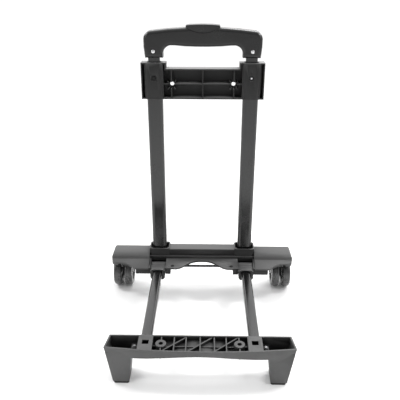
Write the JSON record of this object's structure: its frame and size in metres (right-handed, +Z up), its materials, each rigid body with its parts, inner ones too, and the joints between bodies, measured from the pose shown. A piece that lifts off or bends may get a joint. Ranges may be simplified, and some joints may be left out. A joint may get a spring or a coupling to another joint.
{
  "type": "folding luggage cart",
  "caption": "Folding luggage cart: telescopic twin-tube handle with release button, crossbar, moulded base on twin wheels, and a footed platform that folds up.",
  "frame": {"origin": "on the floor, at the middle of the cart's bounding box seen from above", "axes": "+Z up along the uprights, +Y from the platform to the uprights and wheels, +X along the wheel axles"},
  "size_m": [0.2972, 0.264, 0.4263],
  "materials": {
    "black_plastic": "fine moulded grain, satin",
    "grip_plastic": "smooth satin",
    "button_plastic": "smooth satin",
    "hub_plastic": "semi-gloss moulded",
    "tube": "black satin coat",
    "dark_steel": "blackened drawn rod",
    "steel": "zinc-plated",
    "tyre": "polished rubber",
    "rubber": "dull"
  },
  "bodies": {
    "frame": {"base_body": "black_plastic", "left_wheel_housing": "black_plastic", "right_wheel_housing": "black_plastic", "left_wheel_bracket": "black_plastic", "right_wheel_bracket": "black_plastic", "left_axle": "steel", "right_axle": "steel", "axle_caps": "hub_plastic", "housing_screws": "steel", "base_screws": "steel", "socket_screws": "steel", "left_outer_tube": "tube", "right_outer_tube": "tube", "crossbar": "black_plastic", "crossbar_screws": "steel", "left_outer_bush": "black_plastic", "right_outer_bush": "black_plastic", "pivot_rod": "dark_steel", "pivot_rod_clips": "steel"},
    "middle_stage": {"left_middle_tube": "tube", "right_middle_tube": "tube", "left_middle_bush": "black_plastic", "right_middle_bush": "black_plastic", "left_middle_lock_block": "black_plastic", "right_middle_lock_block": "black_plastic", "middle_lock_pins": "steel"},
    "handle": {"left_inner_tube": "tube", "right_inner_tube": "tube", "left_inner_lock_block": "black_plastic", "right_inner_lock_block": "black_plastic", "inner_lock_pins": "steel", "handle_front_shell": "grip_plastic", "handle_back_shell": "grip_plastic", "handle_rivets": "steel", "handle_screws": "steel", "button_spring": "steel"},
    "button": {"release_button": "button_plastic", "button_yoke": "steel", "left_push_rod": "steel", "right_push_rod": "steel"},
    "platform": {"left_knuckle": "black_plastic", "right_knuckle": "black_plastic", "left_platform_tube": "tube", "right_platform_tube": "tube", "left_foot_pad": "rubber", "right_foot_pad": "rubber", "front_bar": "black_plastic", "bar_screws": "steel", "knuckle_screws": "steel"},
    "left_outer_wheel": {"left_outer_hub": "hub_plastic", "left_outer_tyre": "tyre"},
    "left_inner_wheel": {"left_inner_hub": "hub_plastic", "left_inner_tyre": "tyre"},
    "right_outer_wheel": {"right_outer_hub": "hub_plastic", "right_outer_tyre": "tyre"},
    "right_inner_wheel": {"right_inner_hub": "hub_plastic", "right_inner_tyre": "tyre"}
  },
  "joints": [
    {"name": "middle_stage_slide", "type": "slide", "parent": "frame", "child": "middle_stage", "axis": [0, 0, 1], "range_m": [0, 0.26]},
    {"name": "handle_slide", "type": "slide", "parent": "middle_stage", "child": "handle", "axis": [0, 0, 1], "range_m": [0, 0.26]},
    {"name": "button_press", "type": "slide", "parent": "handle", "child": "button", "axis": [0, 0, -1], "range_m": [0, 0.004], "stiffness_N_per_m": 800, "springref_m": -0.004, "deforming": ["button_spring"]},
    {"name": "platform_fold", "type": "hinge", "parent": "frame", "child": "platform", "pos_m": [0, 0.0848, 0.047], "axis": [-1, 0, 0], "range_deg": [0, 90]},
    {"name": "left_outer_wheel_spin", "type": "hinge", "parent": "frame", "child": "left_outer_wheel", "pos_m": [-0.1419, 0.107, 0.025], "axis": [1, 0, 0], "continuous": true},
    {"name": "left_inner_wheel_spin", "type": "hinge", "parent": "frame", "child": "left_inner_wheel", "pos_m": [-0.1238, 0.107, 0.025], "axis": [1, 0, 0], "continuous": true},
    {"name": "right_outer_wheel_spin", "type": "hinge", "parent": "frame", "child": "right_outer_wheel", "pos_m": [0.1419, 0.107, 0.025], "axis": [1, 0, 0], "continuous": true},
    {"name": "right_inner_wheel_spin", "type": "hinge", "parent": "frame", "child": "right_inner_wheel", "pos_m": [0.1238, 0.107, 0.025], "axis": [1, 0, 0], "continuous": true}
  ]
}
